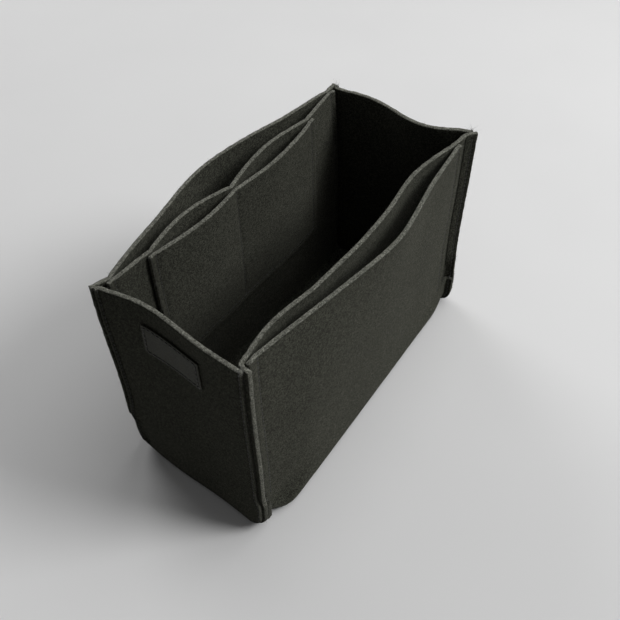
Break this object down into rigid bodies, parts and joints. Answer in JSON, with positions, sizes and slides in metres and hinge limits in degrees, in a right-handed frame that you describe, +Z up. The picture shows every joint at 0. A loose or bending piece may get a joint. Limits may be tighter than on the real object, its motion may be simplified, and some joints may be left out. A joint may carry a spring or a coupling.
{
  "type": "purse organizer insert",
  "caption": "Open-topped felt insert that divides a handbag: one compartment, slip pockets along the front and back, inside pockets, raw-edged corner seams and a blank label.",
  "frame": {"origin": "on the resting plane, under the middle of the base", "axes": "+X along the length, towards the end without the label; +Z up; the front slip pocket faces -Y"},
  "size_m": [0.2609, 0.1461, 0.1641],
  "materials": {
    "felt": "pressed felt, graphite grey heather, matt, with lighter raw cut edges",
    "label": "blank thin dark grey leather, satin",
    "thread": "dark grey polyester sewing thread"
  },
  "bodies": {
    "root": {"outer_wrap": "felt", "inner_wrap": "felt", "left_end_panel": "felt", "right_end_panel": "felt", "inside_pocket_patch": "felt", "blank_label": "label", "left_end_seam_needle_thread": "thread", "left_end_seam_bobbin_thread": "thread", "right_end_seam_needle_thread": "thread", "right_end_seam_bobbin_thread": "thread", "front_pocket_left_seam_needle_thread": "thread", "front_pocket_left_seam_bobbin_thread": "thread", "back_pocket_left_seam_needle_thread": "thread", "back_pocket_left_seam_bobbin_thread": "thread", "front_pocket_right_seam_needle_thread": "thread", "front_pocket_right_seam_bobbin_thread": "thread", "back_pocket_right_seam_needle_thread": "thread", "back_pocket_right_seam_bobbin_thread": "thread", "patch_outline_seam_needle_thread": "thread", "patch_outline_seam_bobbin_thread": "thread", "patch_centre_seam_needle_thread": "thread", "patch_centre_seam_bobbin_thread": "thread", "label_seam_needle_thread": "thread", "label_seam_bobbin_thread": "thread"}
  },
  "joints": []
}
